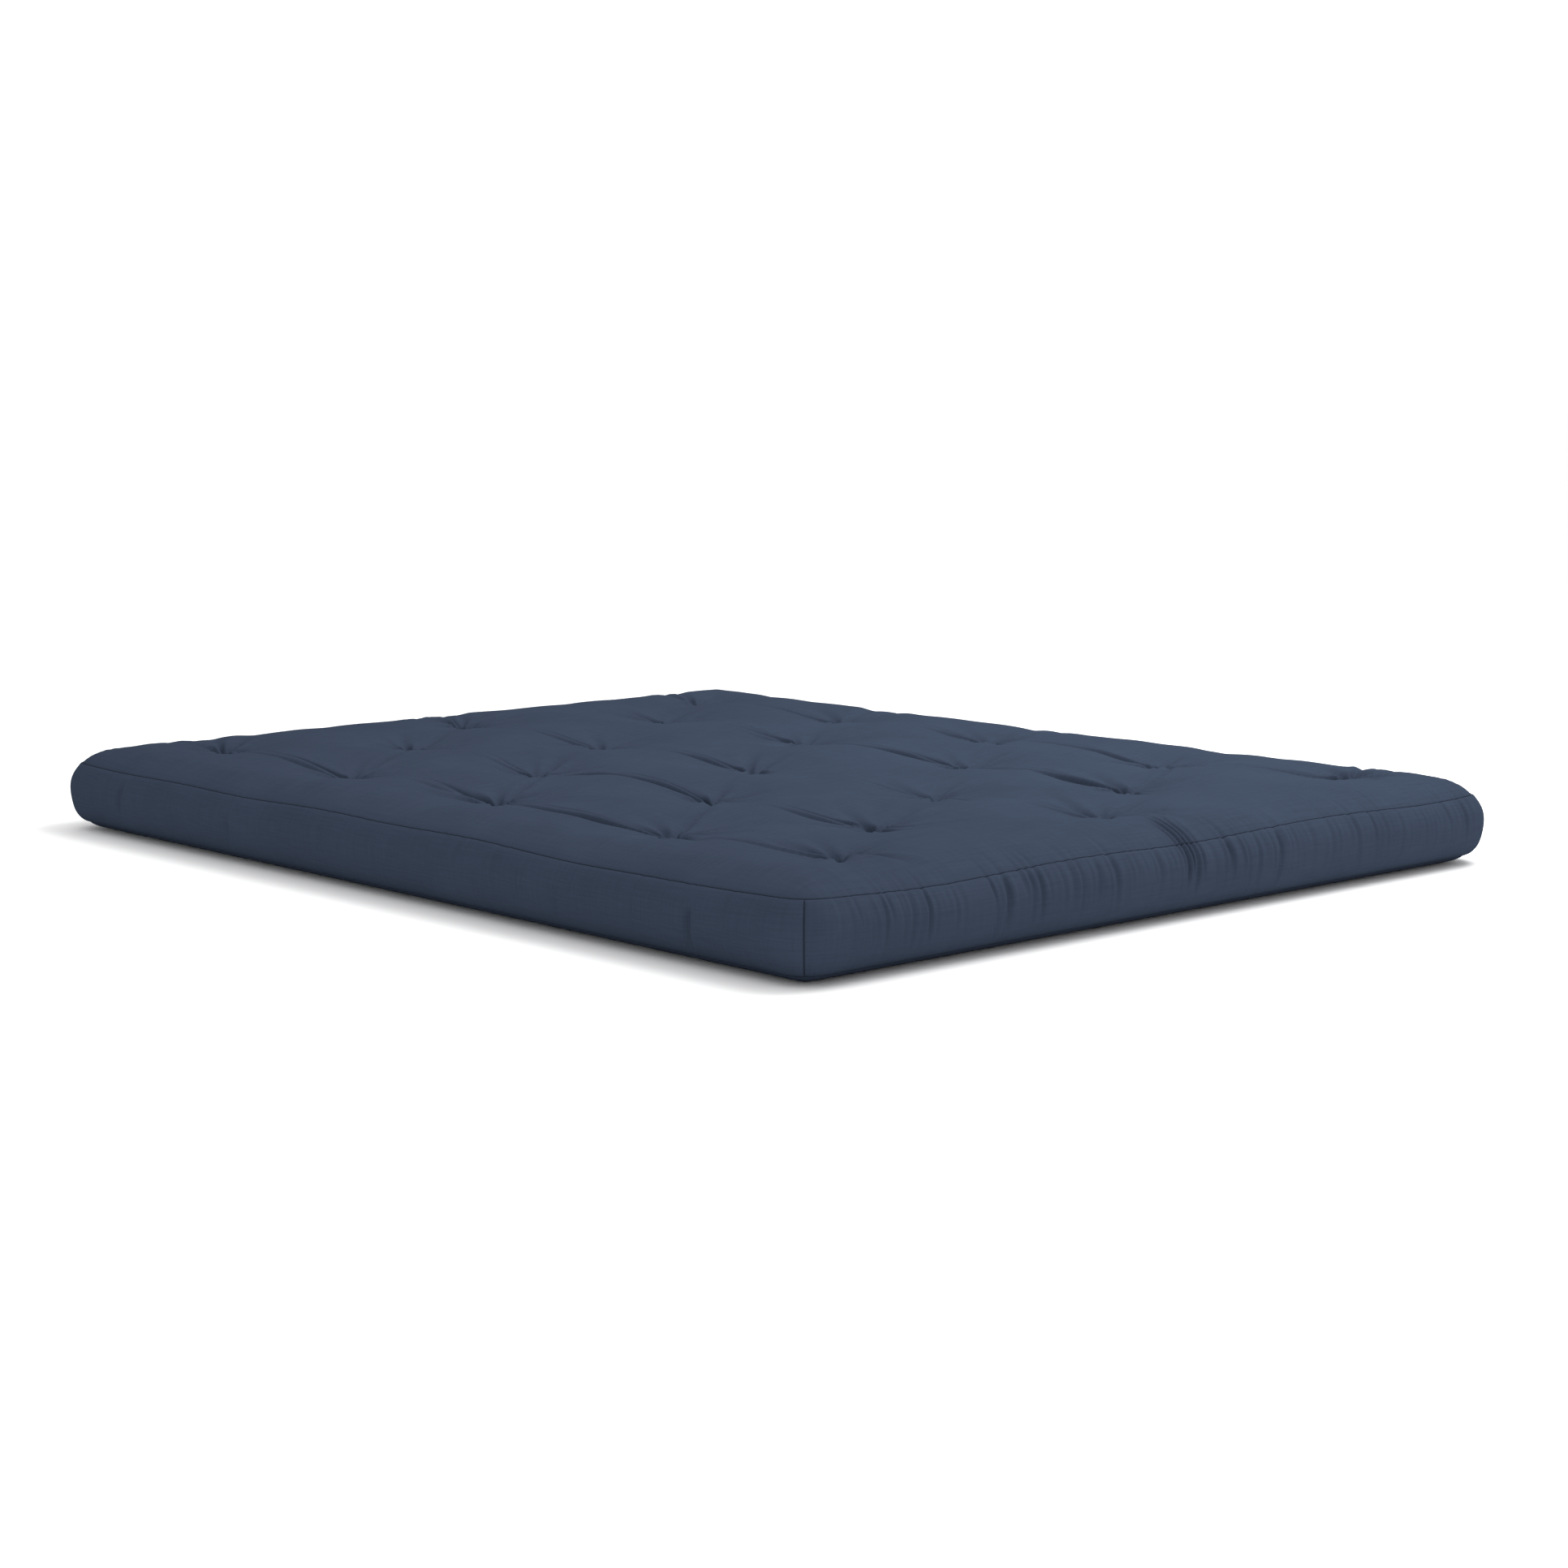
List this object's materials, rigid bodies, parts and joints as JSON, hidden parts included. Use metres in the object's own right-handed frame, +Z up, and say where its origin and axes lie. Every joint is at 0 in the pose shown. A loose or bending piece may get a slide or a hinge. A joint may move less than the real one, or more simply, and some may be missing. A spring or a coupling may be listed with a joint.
{
  "type": "futon mattress",
  "caption": "Boxed double futon mattress with a tufted cotton cover over cotton layers and a foam core, folding in half along its length.",
  "frame": {"origin": "centre of the bounding box at the underside of the mattress", "axes": "+Y along the length, +X across the width, +Z up through the thickness"},
  "size_m": [1.6, 2, 0.15],
  "materials": {
    "cover_cloth": "matte navy plain-weave cotton",
    "seam_thread": "matte dark navy sewing thread",
    "cotton": "raw carded cotton",
    "foam": "pale yellow open-cell foam",
    "tie_twine": "waxed navy cotton twine"
  },
  "bodies": {
    "left_half": {"bottom_panel_left": "cover_cloth", "bottom_seam_left": "seam_thread", "bottom_wadding_left": "cotton", "corner_seam_far_left": "seam_thread", "corner_seam_near_left": "seam_thread", "far_border_left": "cover_cloth", "foam_core_left": "foam", "lower_cotton_left": "cotton", "near_border_left": "cover_cloth", "side_border_left": "cover_cloth", "top_panel_left": "cover_cloth", "top_seam_left": "seam_thread", "top_wadding_left": "cotton", "tuft_tie_01": "tie_twine", "tuft_tie_04": "tie_twine", "tuft_tie_06": "tie_twine", "tuft_tie_07": "tie_twine", "tuft_tie_09": "tie_twine", "tuft_tie_11": "tie_twine", "tuft_tie_12": "tie_twine", "tuft_tie_14": "tie_twine", "tuft_tie_16": "tie_twine", "tuft_tie_17": "tie_twine", "tuft_tie_19": "tie_twine", "tuft_tie_21": "tie_twine", "tuft_tie_22": "tie_twine", "upper_cotton_left": "cotton"},
    "right_half": {"bottom_panel_right": "cover_cloth", "bottom_seam_right": "seam_thread", "bottom_wadding_right": "cotton", "corner_seam_far_right": "seam_thread", "corner_seam_near_right": "seam_thread", "far_border_right": "cover_cloth", "foam_core_right": "foam", "lower_cotton_right": "cotton", "near_border_right": "cover_cloth", "side_border_right": "cover_cloth", "top_panel_right": "cover_cloth", "top_seam_right": "seam_thread", "top_wadding_right": "cotton", "tuft_tie_02": "tie_twine", "tuft_tie_03": "tie_twine", "tuft_tie_05": "tie_twine", "tuft_tie_08": "tie_twine", "tuft_tie_10": "tie_twine", "tuft_tie_13": "tie_twine", "tuft_tie_15": "tie_twine", "tuft_tie_18": "tie_twine", "tuft_tie_20": "tie_twine", "tuft_tie_23": "tie_twine", "upper_cotton_right": "cotton"}
  },
  "joints": [
    {"name": "fold", "type": "hinge", "parent": "left_half", "child": "right_half", "pos_m": [0.008, 0, 0.152], "axis": [0, -1, 0], "range_deg": [0, 175]}
  ]
}
